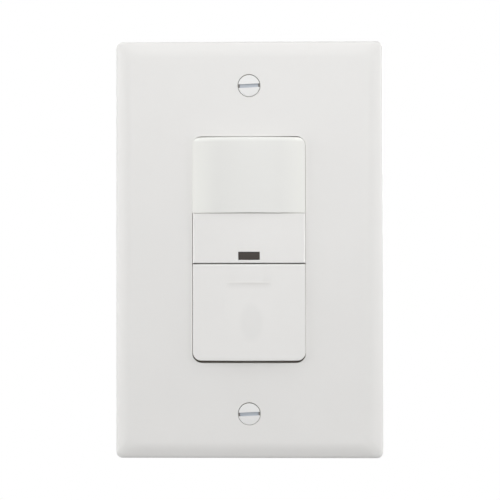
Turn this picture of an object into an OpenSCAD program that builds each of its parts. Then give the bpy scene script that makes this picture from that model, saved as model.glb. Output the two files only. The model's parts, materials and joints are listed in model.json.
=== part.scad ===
// Motion sensor light switch for a flush wall box, under a midsize wall plate.
// X runs to the right, Z up the wall and Y into the wall; the wall surface is y = 0.
// All lengths are in millimetres.

/* [Wall plate] */
// Overall width
plate_w = 79.4; // [74:0.1:90]
// Overall height
plate_h = 123.8; // [118:0.1:136]
// Distance from the wall to the front face
plate_depth = 6; // [5.4:0.1:7]
// Thickness of the front wall
plate_wall = 2.2; // [1.6:0.1:2.6]
// Thickness of the rim that meets the wall
plate_rim = 2.2; // [1.6:0.1:3]
// Width of the rolled edge, seen from the front
roll_w = 3.9; // [2:0.1:4.6]
// Slope of the rolled edge where it leaves the front face
roll_slope = 4; // [2:1:30]
// Radius of the outer corners, seen from the front
plate_corner_r = 2; // [0.8:0.1:3]
// Width of the opening for the device
opening_w = 33.4; // [32.4:0.1:35]
// Height of the opening
opening_h = 66.8; // [65:0.1:69]
// Corner radius of the opening
opening_r = 2.8; // [1.5:0.1:3]
// Distance between the two plate screws
plate_screw_pitch = 96.8; // [95:0.1:98]
// Distance of each stiffening rib from the centre line
plate_rib_x = 29; // [27:0.5:32]

/* [Face of the device] */
// Gap between the device and the opening of the plate, above and below
face_gap = 0.25; // [0.15:0.05:0.5]
// Gap between the device and the opening of the plate, at each side
side_gap = 0.12; // [0.1:0.01:0.3]
// Height of the side edges of the face above the plate
face_proud = 0.8; // [0.4:0.1:2]
// Rise of the band and the button from their side edges to the middle
face_crown = 1.4; // [0.8:0.1:2]
// Rise of the sensor lens from its side edges to the middle
lens_bulge = 2; // [1.6:0.1:4]
// Height of the line between the lens and the band
lens_line = 10.85; // [9:0.05:12]
// Height of the line between the band and the button
button_line = -4.2; // [-5:0.05:-3.6]
// Gap between the lens and the band
lens_seam = 0.14; // [0.1:0.02:0.3]
// Gap between the band and the button
seam = 0.35; // [0.2:0.05:0.5]
// Rounding of the long edges of the band and the button
edge_r = 0.45; // [0.3:0.05:0.6]
// Chamfer of the side edges of the face
edge_break = 0.4; // [0.2:0.05:0.6]
// Rounding of the upper edge of the lens
lens_top_r = 1.4; // [1:0.1:1.8]
// Wall of the sensor lens
lens_wall = 1; // [0.7:0.1:1.3]
// Number of vertical ribs on the inner face of the lens
lens_flutes = 10; // [6:1:12]
// Wall of the band
band_wall = 1.6; // [1.2:0.1:1.8]
// Width of the dark window in the band
window_w = 6.1; // [5:0.05:8]
// Height of the dark window
window_h = 2.2; // [1.8:0.05:3]
// Height of the middle of the dark window
window_z = -1.87; // [-2:0.01:-1]

/* [Push button] */
// Wall of the button
button_wall = 1.5; // [1.2:0.1:1.7]
// Extra gap under the lower edge, for the swing of the button
swing_gap = 0.45; // [0.35:0.05:0.8]
// Swing from rest to fully pressed, in degrees
press_angle = 1.5; // [1:0.1:1.8]
// Height of the upper edge of the finger scoop
scoop_top = -9.75; // [-11:0.05:-9]
// Depth of the scoop at its upper edge
scoop_depth = 0.25; // [0.15:0.01:0.35]
// Radius at which the scoop runs out below, seen from the side
scoop_r = 20; // [10:1:60]
// Diameter of the hinge pins
pin_d = 1.8; // [1.5:0.1:2]
// Wire of the return spring
spring_wire = 0.45; // [0.35:0.05:0.5]
// Mean diameter of the return spring
spring_d = 4.2; // [3.8:0.1:4.4]
// Turns of the return spring
spring_turns = 3.25; // [2.5:0.25:3.5]

/* [Mounting strap] */
// Sheet thickness of the strap
strap_t = 1.2; // [1:0.1:1.4]
// Overall height of the strap
strap_h = 106.4; // [104:0.1:110]
// Width of the frame behind the plate
strap_w = 42; // [40:0.5:44]
// Height of the frame behind the plate
strap_frame_h = 73.6; // [72.6:0.1:74.4]
// Width of the two end ears
ear_w = 33; // [29:0.5:38]
// Width of the window in the frame
strap_window_w = 33; // [32:0.5:34]
// Height of the window in the frame
strap_window_h = 51; // [48:0.5:52]
// Distance between the two box screws
box_screw_pitch = 83.34; // [82:0.02:84.5]
// Thread of the box screws and the plate screws
screw_d = 3.5; // [3.3:0.1:3.6]
// Length of the box screws behind the wall surface
box_screw_reach = 24; // [18:0.5:30]

/* [Rear housing] */
// Width of the housing
housing_w = 43.6; // [42:0.1:46]
// Height of the housing
housing_h = 70.6; // [69:0.1:72]
// Depth of the housing behind the wall surface
housing_depth = 33; // [32:0.1:40]
// Wall of the housing
housing_wall = 1.8; // [1.4:0.1:2]
// Bevel of the rear edges of the housing
housing_bevel = 1.6; // [0.8:0.1:2.4]
// Depth of each wiring bay, from the side of the housing
bay_depth = 6.5; // [6.2:0.1:7]
// Height of each wiring bay
bay_h = 12.4; // [11:0.1:13.4]
// Distance of the middle of each wiring bay from the centre
bay_z = 11; // [10:0.1:11.4]
// Thread of the terminal screws
terminal_d = 3.9; // [3.6:0.1:4.2]
// Thickness of both circuit boards
board_t = 1.6; // [1.2:0.1:1.6]

/* [Fits] */
// Space all round parts that stand still
fit = 0.1; // [0.05:0.05:0.15]
// Space all round parts that turn or slide
running = 0.08; // [0.05:0.01:0.12]
// Least space between the button and the parts under it
move_gap = 0.4; // [0.3:0.05:0.5]

/* [Hidden] */
$fn = 64;
over = 1;
sink = 0.3;

// Levels along Y, from the wall towards the viewer
plate_y = -plate_depth;
plate_in_y = plate_y + plate_wall;
strap_y = -strap_t;
flange_t = 1.6;
flange_y = strap_y - flange_t;
edge_y = plate_y - face_proud;
crown_y = edge_y - face_crown;
lens_y = edge_y - lens_bulge;

// Levels along Y, from the wall inwards
board_y = 5;
board_back_y = board_y + board_t;
back_in_y = housing_depth - housing_wall;
pad_t = 2;
power_back_y = back_in_y - pad_t;
power_y = power_back_y - board_t;

// Rolled edge of the plate
roll_turn = 90 - roll_slope;
roll_r = roll_w / (1 - cos(roll_turn));
roll_h = roll_r * sin(roll_turn);

// Outline of the face
face_w = opening_w - 2 * side_gap;
face_h = opening_h - 2 * face_gap;
face_r = opening_r - face_gap;
face_x = face_w / 2;
face_z = face_h / 2;
lens_z = lens_line + lens_seam / 2;
band_top = lens_line - lens_seam / 2;
band_end = button_line + seam / 2;
button_top = button_line - seam / 2;
button_end = -face_z + swing_gap;
crown_r = bow_r(face_x, face_crown);
lens_r = bow_r(face_x, lens_bulge);
flange_rim = 2.6;
flute_margin = 4;
flute_pitch = (face_w - 2 * flute_margin) / lens_flutes;
flute_rise = 0.35;
flute_r = 2.2;

// Hinge of the button
lug_d = pin_d + 1.6;
lug_t = 1.8;
web_t = 1.7;
hinge_z = button_top - button_wall - move_gap - lug_d / 2;
hinge_y = flange_y - lug_d / 2 + 0.6;
press_travel = (hinge_z - button_end) * sin(press_angle);
skirt_y = flange_y - press_travel - move_gap;
lug_x = face_x - button_wall - move_gap - 2 * lug_t;
web_x = lug_x - 4 * running - web_t;

// Parts under the button
plunger_arm = 14;
plunger_z = hinge_z - plunger_arm;
plunger_d = 3.2;
plunger_tip = flange_y - 0.8;
plunger_tail = 2.6;
plunger_travel = plunger_arm * sin(press_angle);
spring_z = button_end + button_wall + spring_d / 2 + spring_wire + 0.8;
leg_x = 9;
leg_z = plunger_z;
leg_w = 4;
leg_t = 1.4;
leg_slot = 0.35;
barb = 0.8;
dial_x = 9;
dial_z = -14.6;
dial_d = 6;
dial_y = flange_y + 0.4;
dial_stem_d = 3.8;
trimmer_y = 1.5;

// Screws that hold the case together
case_d = 2.8;
post_d = 4.2;
post_y = flange_y - 1.9;
case_x = face_x - button_wall - move_gap - post_d / 2;
case_z = face_z - swing_gap - button_wall - move_gap - post_d / 2;
column_d = 6;
foot_d = 8.6;
case_head_d = 5.2;
case_head_h = 1.8;

// Screw heads
plate_head_d = 6.9;
plate_head_h = 1.85;
plate_dome = 0.55;
plate_hole_d = screw_d + 0.4;
box_head_d = 7;
box_head_h = 2;
head_gap = 0.4;
plate_boss_d = plate_screw_pitch - box_screw_pitch - box_head_d - 2 * head_gap;
plate_screw_reach = 7;
slot_w = 1.2;
slot_tilt = 2.8;
neck_d = screw_d - 0.6;
retainer_t = 0.4;
retainer_w = 9;
retainer_h = 8;
retainer_r = 1;
neck_y = retainer_t + fit;

// Grooves in the back of the housing
groove_pitch = 8;
groove_x = 9;
groove_w = 1.4;
groove_depth = 0.6;

// Wiring bays
bay_y = 9;
bay_wall = 1.5;
bay_end = power_y - bay_wall - fit;
bay_x = housing_w / 2 - bay_depth;
terminal_y = 14;
contact_t = 1;
contact_w = 5;
wire_gap = 1.8;
clamp_t = 1.2;
clamp_w = 8;
terminal_head_d = 7;
terminal_head_h = 2;

// Ground tab of the strap
tab_z = -46;
tab_w = 8;
tab_reach = 10;
ground_y = 5.4;
ground_head_d = 8;
ground_head_h = 2.4;
ground_reach = 7;

// Parts on the boards
sensor_z = 19.6;
sight_w = 22;
sight_h = 11.6;
prop_upper = 5;
prop_lower = -18.5;
sensor_d = 8.2;
sensor_rim_d = 9.2;
sensor_y = 0.6;
filter_w = 4;
filter_h = 3.2;
led_x = 1.6;
led_y = 2.6;
led_d = 1.9;
led_base_w = 2.8;
led_base_h = 2.4;
led_base_t = 0.6;
switch_w = 6;
trimmer_w = 6.6;
chip_z = 9;
chip_w = 7;
chip_t = 1.6;
lead_span = 9;
lead_pitch = 1.25;
lead_w = 0.5;
header_z = -23;
header_w = 15.2;
header_t = 2.5;
pin_pitch = 2.54;
pin_w = 0.7;
relay_w = 19;
relay_h = 15.5;
relay_d = 15.5;
relay_z = 14;
film_w = 17.5;
film_h = 5.5;
film_d = 11;
film_z = 1.5;
can_d = 8;
can_h = 12;
can_x = 5.5;
can_z = -10;
disc_d = 10;
disc_t = 4;
disc_x = -6;
disc_lead = 0.5;
moulded_r = 0.6;

// Radius of an arc that rises by rise over half a chord
function bow_r(half, rise) = (half * half + rise * rise) / (2 * rise);

// Front-view outline pulled out between two depths
module slab(front, back) {
  translate([0, back, 0]) rotate([90, 0, 0]) linear_extrude(back - front) children();
}

// Outline in depth and height, drawn out along X
module span_x(length) {
  rotate([90, 0, 90]) linear_extrude(length, center = true) children();
}

// Outline in depth and width, drawn out along Z
module span_z(length) {
  linear_extrude(length, center = true) rotate(90) children();
}

// Round bar along the depth
module rod(d, front, back) {
  translate([0, back, 0]) rotate([90, 0, 0]) cylinder(d = d, h = back - front);
}

// Cone along the depth
module cone(d_front, d_back, front, back) {
  translate([0, back, 0]) rotate([90, 0, 0]) cylinder(d1 = d_back, d2 = d_front, h = back - front);
}

// Round bar along X
module cross_bar(d, x0, x1) {
  translate([x0, 0, 0]) rotate([0, 90, 0]) cylinder(d = d, h = x1 - x0);
}

// Place in the front view
module at(x, z) {
  translate([x, 0, z]) children();
}

// Block between two corners
module block(from, to) {
  translate(from) cube(to - from);
}

// Rectangle with round corners
module rounded(w, h, r) {
  square([w - 2 * r, h], center = true);
  square([w, h - 2 * r], center = true);
  for (x = [-1, 1], z = [-1, 1])
    translate([x * (w / 2 - r), z * (h / 2 - r)]) circle(r);
}

// Four case-screw places
module at_case_screws() {
  for (x = [-1, 1], z = [-1, 1])
    at(x * case_x, z * case_z) children();
}

// Both ends of the plate or strap
module at_ends(pitch) {
  for (z = [-1, 1])
    at(0, z * pitch / 2) children();
}

// Section of the plate with its two rolled edges, in depth and span
module roll_section(span) {
  difference() {
    translate([plate_y, -span / 2]) square([plate_depth, span]);
    for (side = [0, 1])
      mirror([0, side]) translate([plate_y + roll_h, span / 2 - roll_r])
        difference() {
          translate([-roll_r - over, roll_r - roll_w]) square([roll_r + over, roll_w + over]);
          circle(roll_r);
        }
  }
}

// Crowned disc: an arc across the face, with rounded lower and upper edges
module crowned(radius, front, z0, z1, r0, r1) {
  translate([0, front + radius, 0]) rotate_extrude($fn = 240)
    difference() {
      translate([0, z0]) square([radius, z1 - z0]);
      translate([radius - r1, z1 - r1]) difference() {
        square(r1 + over);
        circle(r1);
      }
      translate([radius - r0, z0 + r0]) mirror([0, 1]) difference() {
        square(r0 + over);
        circle(r0);
      }
    }
}

// Space in front of the strap with the two side edges of the face chamfered off
module side_breaks() {
  lead = lens_bulge + over;
  broken = edge_y + edge_break;
  translate([0, 0, -face_h]) linear_extrude(2 * face_h)
    polygon([[-face_x, 0], [-face_x, broken], [lead - face_x, broken - lead],
      [face_x - lead, broken - lead], [face_x, broken], [face_x, 0]]);
}

module wall_plate() {
  color([0.91, 0.91, 0.9]) difference() {
    union() {
      difference() {
        intersection() {
          span_x(plate_w + over) roll_section(plate_h);
          span_z(plate_h + over) roll_section(plate_w);
          slab(plate_y - over, over) rounded(plate_w, plate_h, plate_corner_r);
        }
        slab(plate_in_y, over) rounded(plate_w - 2 * plate_rim, plate_h - 2 * plate_rim, 1);
      }
      at_ends(plate_screw_pitch) rod(plate_boss_d, plate_in_y - sink, strap_y);
      for (x = [-1, 1])
        at(x * plate_rib_x, 0) block([-0.6, plate_in_y - sink, -plate_h / 2 + plate_rim - sink],
          [0.6, plate_in_y + 1.4, plate_h / 2 - plate_rim + sink]);
    }
    slab(plate_y - over, over) rounded(opening_w, opening_h, opening_r);
    at_ends(plate_screw_pitch) {
      rod(plate_hole_d, plate_y - over, over);
      cone(plate_head_d + 2 * fit, plate_hole_d - 0.2, plate_y - 0.01, plate_y + plate_head_h + fit);
    }
  }
}

module plate_screws() {
  dome_r = bow_r(plate_head_d / 2, plate_dome);
  color([0.9, 0.9, 0.89]) at_ends(plate_screw_pitch) difference() {
    union() {
      intersection() {
        translate([0, plate_y - plate_dome + dome_r, 0]) sphere(dome_r);
        rod(plate_head_d, plate_y - over, plate_y);
      }
      cone(plate_head_d, screw_d - 0.2, plate_y, plate_y + plate_head_h);
      rod(screw_d - 2 * running, plate_y + 1, plate_screw_reach);
    }
    rotate([0, -slot_tilt, 0]) block([-plate_head_d, plate_y - over, -slot_w / 2],
      [plate_head_d, plate_y + 0.7, slot_w / 2]);
  }
}

module strap_outline() {
  difference() {
    union() {
      rounded(strap_w, strap_frame_h, 2.5);
      rounded(ear_w, strap_h, 3);
      for (x = [-1, 1], z = [-1, 1])
        translate([x * ear_w / 2, z * (strap_h / 2 - 7)]) circle(3.6);
    }
    square([strap_window_w, strap_window_h], center = true);
    for (z = [-1, 1]) {
      translate([0, z * plate_screw_pitch / 2]) circle(d = screw_d);
      translate([0, z * box_screw_pitch / 2]) {
        square([3.6, screw_d + 0.7], center = true);
        for (x = [-1, 1])
          translate([1.8 * x, 0]) circle(d = screw_d + 0.7);
      }
      for (x = [-1, 1])
        translate([x * case_x, z * case_z]) circle(d = case_d + 0.4);
      for (x = [-1, 1])
        translate([x * (ear_w / 2 - 4), z * (strap_h / 2 - 7)]) square([1.4, 6], center = true);
    }
  }
}

module mounting_strap() {
  color([0.72, 0.73, 0.75]) {
    slab(strap_y, 0) strap_outline();
    difference() {
      block([ear_w / 2 - strap_t, strap_y + sink, tab_z - tab_w / 2],
        [ear_w / 2, tab_reach, tab_z + tab_w / 2]);
      translate([0, ground_y, tab_z]) cross_bar(terminal_d + 2 * running, 0, ear_w);
    }
  }
}

module box_screws() {
  color([0.78, 0.77, 0.72]) at_ends(box_screw_pitch) difference() {
    union() {
      rod(box_head_d, strap_y - box_head_h, strap_y);
      rod(neck_d, strap_y - sink, neck_y + sink);
      rod(screw_d, neck_y, box_screw_reach);
    }
    block([-box_head_d, strap_y - box_head_h - over, -slot_w / 2],
      [box_head_d, strap_y - box_head_h / 2, slot_w / 2]);
  }
}

module screw_retainers() {
  color([0.45, 0.33, 0.22]) at_ends(box_screw_pitch) difference() {
    slab(0, retainer_t) rounded(retainer_w, retainer_h, retainer_r);
    rod(neck_d + 2 * fit, -over, retainer_t + over);
  }
}

module ground_screw() {
  head_x = ear_w / 2;
  color([0.1, 0.45, 0.2]) translate([0, ground_y, tab_z]) difference() {
    union() {
      translate([head_x, 0, 0]) rotate([0, 90, 0]) cylinder(d = ground_head_d, h = ground_head_h, $fn = 6);
      cross_bar(ground_head_d + 1, head_x, head_x + 0.8);
      cross_bar(terminal_d, head_x - ground_reach, head_x + sink);
    }
    block([head_x + 1.2, -ground_head_d, -slot_w / 2],
      [head_x + ground_head_h + over, ground_head_d, slot_w / 2]);
  }
}

// One hinge lug of the cover, with its bore
module hinge_lug() {
  difference() {
    union() {
      translate([0, hinge_y, hinge_z]) cross_bar(lug_d, lug_x, lug_x + lug_t);
      block([lug_x, hinge_y, hinge_z - lug_d / 2], [lug_x + lug_t, flange_y + sink, hinge_z + lug_d / 2]);
    }
    translate([0, hinge_y, hinge_z]) cross_bar(pin_d + 2 * running, lug_x - over, lug_x + lug_t + over);
  }
}

// Outline of the lens seat, set in from the face by a margin
module lens_outline(margin) {
  height = face_z - lens_z;
  radius = max(face_r - margin, 0.6);
  translate([0, lens_z + height / 2]) {
    rounded(face_w - 2 * margin, height - 2 * margin, radius);
    translate([0, -radius]) square([face_w - 2 * margin, height - 2 * margin - 2 * radius], center = true);
    translate([-face_x + margin, margin - height / 2]) square([face_w - 2 * margin, 2 * radius]);
  }
}

module band() {
  difference() {
    intersection() {
      slab(crown_y - over, flange_y + sink)
        translate([-face_x, band_end - over]) square([face_w, band_top - band_end + 2 * over]);
      crowned(crown_r, crown_y, band_end, band_top, edge_r, edge_r);
      side_breaks();
    }
    intersection() {
      slab(crown_y, flange_y + over) translate([band_wall - face_x, band_end + band_wall])
        square([face_w - 2 * band_wall, band_top - band_end - 2 * band_wall]);
      translate([0, crown_y + crown_r, 0])
        cylinder(r = crown_r - band_wall, h = face_h, center = true, $fn = 240);
    }
    at(0, window_z) slab(crown_y - over, flange_y)
      square([window_w + 2 * fit, window_h + 2 * fit], center = true);
  }
}

module front_cover() {
  color([0.9, 0.9, 0.88]) difference() {
    union() {
      slab(flange_y, strap_y) rounded(face_w + 2 * flange_rim, face_h + 2 * flange_rim, face_r + flange_rim);
      band();
      slab(flange_y - 1.6, flange_y + sink) difference() {
        lens_outline(lens_wall + fit);
        lens_outline(lens_wall + fit + 1.2);
      }
      hinge_lug();
      mirror([1, 0, 0]) hinge_lug();
      at_case_screws() rod(post_d, post_y, flange_y + sink);
      at(0, spring_z) rod(spring_d - spring_wire - 0.6, flange_y - 1, flange_y + sink);
      for (x = [-1, 1], z = [prop_upper, prop_lower])
        at(x * (dial_x + 5.2), z) rod(2.4, strap_y - sink, board_y);
    }
    at_case_screws() rod(case_d + 2 * running, post_y + 0.8, over);
    at(0, sensor_z) slab(flange_y - over, strap_y + over) square([sight_w, sight_h], center = true);
    at(0, window_z) slab(flange_y - over, strap_y + over) square([window_w, window_h + 1], center = true);
    at(0, plunger_z) rod(plunger_d + 2 * running, flange_y - over, strap_y + over);
    for (x = [-1, 0, 1])
      at(x * dial_x, dial_z) rod(dial_d + 4 * running, flange_y - over, strap_y + over);
    for (x = [-1, 1])
      at(x * leg_x, leg_z) slab(flange_y - over, strap_y + over)
        square([leg_w + 2 * leg_slot, leg_t + 2 * leg_slot], center = true);
  }
}

module sensor_lens() {
  color([0.92, 0.93, 0.88]) difference() {
    intersection() {
      slab(lens_y - over, flange_y) lens_outline(0);
      crowned(lens_r, lens_y, 0, face_z + 0.02, edge_r, lens_top_r);
      side_breaks();
    }
    difference() {
      intersection() {
        slab(lens_y - over, flange_y + over) lens_outline(lens_wall);
        crowned(lens_r - lens_wall, lens_y + lens_wall, 0, face_z - lens_wall + 0.02, edge_r, lens_top_r);
      }
      for (i = [0 : lens_flutes - 1])
        flute((i - (lens_flutes - 1) / 2) * flute_pitch);
    }
  }
}

// One vertical rib of the inner face of the lens, at a distance from the middle
module flute(x) {
  inner_r = lens_r - lens_wall;
  wall_at = lens_y + lens_wall + inner_r - sqrt(inner_r * inner_r - x * x);
  translate([x, wall_at + flute_rise - flute_r, lens_z + lens_wall / 2])
    cylinder(r = flute_r, h = face_z - lens_z - 2 * lens_wall - lens_top_r);
}

module indicator_window() {
  rear = crown_y + band_wall + 0.15;
  color([0.22, 0.17, 0.14]) at(0, window_z) {
    slab(crown_y + 0.12, rear + sink) square([window_w, window_h], center = true);
    block([-window_w / 2 - 1.2, rear, band_end + band_wall + fit - window_z],
      [window_w / 2 + 1.2, rear + 1, window_h / 2 + 0.8]);
    slab(rear + sink, led_y - 0.2) square([window_w - 1, window_h], center = true);
  }
}

// Outline of the button, set in by a margin; only the lower corners are round
module button_outline(margin) {
  height = button_top - button_end;
  radius = max(face_r - margin, 0.6);
  translate([0, button_end + height / 2]) {
    rounded(face_w - 2 * margin, height - 2 * margin, radius);
    translate([margin - face_x, height / 2 - margin - 2 * radius])
      square([face_w - 2 * margin, 2 * radius]);
  }
}

// Finger scoop: a straight step under which the face comes forward again along an arc
module scoop() {
  drop = scoop_depth + 0.02;
  reach = sqrt(drop * (2 * scoop_r - drop));
  span_x(face_w) difference() {
    translate([crown_y - over, scoop_top - reach]) square([over + drop, reach]);
    translate([crown_y + scoop_depth - drop + scoop_r, scoop_top - reach]) circle(scoop_r, $fn = 360);
  }
}

// One pin of the hinge with the web that carries it
module hinge_web() {
  web_front = crown_y + button_wall - sink;
  block([web_x, web_front, hinge_z - lug_d / 2], [web_x + web_t, hinge_y + pin_d / 2, hinge_z + lug_d / 2]);
  translate([0, hinge_y, hinge_z]) cross_bar(pin_d, web_x + sink, lug_x + lug_t + 0.2);
}

// One snap leg, which hooks behind the flange of the cover
module snap_leg() {
  barb_y = strap_y + 0.15;
  at(leg_x, leg_z) {
    block([-leg_w / 2, crown_y + button_wall, -leg_t / 2], [leg_w / 2, barb_y + 1, leg_t / 2]);
    block([-leg_w / 2, barb_y, 0], [leg_w / 2, barb_y + 1, leg_t / 2 + barb]);
  }
}

module push_button() {
  inner_front = crown_y + button_wall;
  color([0.9, 0.9, 0.88]) {
    difference() {
      intersection() {
        slab(crown_y - over, skirt_y) button_outline(0);
        crowned(crown_r, crown_y, button_end - 0.02, button_top + 0.02, edge_r, edge_r);
        side_breaks();
      }
      intersection() {
        slab(crown_y, skirt_y + over) button_outline(button_wall);
        translate([0, crown_y + crown_r, 0])
          cylinder(r = crown_r - button_wall, h = 2 * face_h, center = true, $fn = 240);
      }
      scoop();
    }
    hinge_web();
    mirror([1, 0, 0]) hinge_web();
    snap_leg();
    mirror([1, 0, 0]) snap_leg();
    at(0, plunger_z) rod(4, inner_front - sink, plunger_tip - 0.1);
  }
}

// Helix of the return spring: one unbroken tube of six-sided rings
spring_back = flange_y - spring_wire / 2 - 0.05;
spring_front = crown_y + button_wall + spring_wire / 2 + 0.05;
spring_sides = 6;
spring_rings = ceil(spring_turns * 12);
spring_line = [for (i = [0 : spring_rings]) let (a = 360 * spring_turns * i / spring_rings)
  [spring_d / 2 * cos(a), spring_back + (spring_front - spring_back) * i / spring_rings,
    spring_z + spring_d / 2 * sin(a)]];
spring_points = [for (i = [0 : spring_rings], k = [0 : spring_sides - 1])
  let (a = 360 * spring_turns * i / spring_rings, b = 360 * k / spring_sides)
    spring_line[i] + spring_wire / 2 * [cos(b) * cos(a), sin(b), cos(b) * sin(a)]];
spring_gap = min([for (i = [0 : spring_rings - 12])
  norm(spring_line[i] - spring_line[i + 12]) - spring_wire]);
echo(spring_gap = spring_gap);

module return_spring() {
  last = spring_rings * spring_sides;
  sides = [for (i = [0 : spring_rings - 1], k = [0 : spring_sides - 1])
    let (a = i * spring_sides + k, b = i * spring_sides + (k + 1) % spring_sides)
      [a, b, b + spring_sides, a + spring_sides]];
  ends = [[for (k = [spring_sides - 1 : -1 : 0]) k], [for (k = [0 : spring_sides - 1]) last + k]];
  color([0.75, 0.75, 0.77]) polyhedron(spring_points, concat(sides, ends), convexity = 6);
}

module switch_plunger() {
  color([0.15, 0.15, 0.16]) at(0, plunger_z) rod(plunger_d, plunger_tip, plunger_tail);
}

module switch_base() {
  color([0.2, 0.2, 0.21]) at(0, plunger_z) difference() {
    slab(trimmer_y, board_y) rounded(switch_w, switch_w, moulded_r);
    rod(plunger_d + 2 * running, trimmer_y - over, plunger_tail + plunger_travel + 0.4);
  }
}

module trimmer_bases() {
  color([0.16, 0.3, 0.55]) for (x = [-1, 0, 1])
    at(x * dial_x, dial_z) difference() {
      slab(trimmer_y, board_y) rounded(trimmer_w, trimmer_w, moulded_r);
      rod(dial_stem_d + 2 * running, trimmer_y - over, board_y - 1.2);
    }
}

// One set-up dial with a screwdriver slot
module dial(x) {
  color([0.93, 0.93, 0.9]) at(x, dial_z) difference() {
    union() {
      rod(dial_d, dial_y, 0.4);
      rod(dial_stem_d, 0.4 - sink, board_y - 1.6);
    }
    block([-dial_d, dial_y - over, -0.5], [dial_d, dial_y + 1, 0.5]);
    at(0, dial_d / 2) block([-0.4, dial_y - over, -1.2], [0.4, dial_y + 0.5, over]);
  }
}

module light_dial() {
  dial(-dial_x);
}

module time_dial() {
  dial(0);
}

module range_dial() {
  dial(dial_x);
}

module control_board() {
  half_w = housing_w / 2 - housing_wall - 0.5;
  color([0.1, 0.36, 0.2]) difference() {
    slab(board_y, board_back_y) square([2 * half_w, 2 * case_z], center = true);
    at_case_screws() rod(column_d + 0.8, board_y - over, board_back_y + over);
  }
}

module infrared_sensor() {
  color([0.75, 0.75, 0.76]) at(0, sensor_z) difference() {
    union() {
      rod(sensor_rim_d, board_y - 0.8, board_y);
      rod(sensor_d, sensor_y, board_y - 0.4);
    }
    slab(sensor_y - over, sensor_y + 0.7) square([filter_w, filter_h], center = true);
  }
}

module sensor_filter() {
  color([0.12, 0.1, 0.12]) at(0, sensor_z) slab(sensor_y + 0.1, sensor_y + 0.7)
    square([filter_w - 2 * fit, filter_h - 2 * fit], center = true);
}

// Round light-coloured head on a small base, for the status light and the light sensor
module small_head() {
  slab(board_y - led_base_t, board_y) square([led_base_w, led_base_h], center = true);
  rod(led_d, led_y, board_y - led_base_t + sink);
}

module status_led() {
  color([0.85, 0.2, 0.15]) at(-led_x, window_z) small_head();
}

module light_sensor() {
  color([0.75, 0.75, 0.7]) at(led_x, window_z) small_head();
}

module control_chip() {
  color([0.12, 0.12, 0.13]) at(0, chip_z) {
    slab(board_back_y, board_back_y + chip_t) square([chip_w, chip_w], center = true);
    slab(board_back_y, board_back_y + chip_t / 3) for (turn = [0 : 90 : 270], i = [-2 : 2])
      rotate(turn) translate([chip_w / 2 - sink, i * lead_pitch - lead_w / 2])
        square([lead_span / 2 - chip_w / 2 + sink, lead_w]);
  }
}

module board_header() {
  color([0.13, 0.13, 0.14]) at(0, header_z) {
    slab(board_back_y, board_back_y + header_t) square([header_w, header_t], center = true);
    slab(power_y - header_t, power_y) square([header_w, header_t], center = true);
    for (i = [-2.5 : 2.5])
      at(i * pin_pitch, 0) slab(board_back_y + header_t - sink, power_y - header_t + sink)
        square([pin_w, pin_w], center = true);
  }
}

module power_board() {
  half_w = housing_w / 2 - housing_wall - 0.5;
  color([0.1, 0.36, 0.2]) difference() {
    slab(power_y, power_back_y) square([2 * half_w, 2 * case_z], center = true);
    at_case_screws() rod(foot_d + 0.8, power_y - over, power_back_y + over);
  }
}

module relay() {
  color([0.12, 0.2, 0.4]) at(0, relay_z)
    slab(power_y - relay_d, power_y) rounded(relay_w, relay_h, moulded_r);
}

module film_capacitor() {
  color([0.75, 0.6, 0.15]) at(0, film_z) slab(power_y - film_d, power_y) rounded(film_w, film_h, moulded_r);
}

module reservoir_capacitor() {
  groove = can_d / 20;
  color([0.12, 0.12, 0.16]) at(can_x, can_z) difference() {
    rod(can_d, power_y - can_h, power_y);
    difference() {
      rod(can_d + over, power_y - 5 * groove, power_y - 3 * groove);
      rod(can_d - 2 * groove, power_y - 6 * groove, power_y);
    }
  }
}

module surge_varistor() {
  disc_y = power_y - disc_d / 2 - disc_lead;
  lead_z = disc_d * 0.28;
  color([0.1, 0.3, 0.55]) translate([disc_x, 0, can_z]) {
    translate([0, disc_y, 0]) cross_bar(disc_d, -disc_t / 2, disc_t / 2);
    for (z = [-1, 1])
      translate([0, 0, z * lead_z]) block([-lead_w, disc_y + disc_d / 4, -lead_w], [lead_w, power_y, lead_w]);
  }
}

// Four places of the wiring bays, as drawn on the right-hand side and mirrored
module at_bays(sides) {
  for (side = sides, z = [-1, 1])
    mirror([side, 0, 0]) at(0, z * bay_z) children();
}

// Section of the housing in depth and span, with its rear edges bevelled
module tapered_section(half) {
  bevel_y = housing_depth - housing_bevel - over;
  polygon([[0, -half - over], [bevel_y, -half - over], [housing_depth, housing_bevel - half],
    [housing_depth, half - housing_bevel], [bevel_y, half + over], [0, half + over]]);
}

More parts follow.
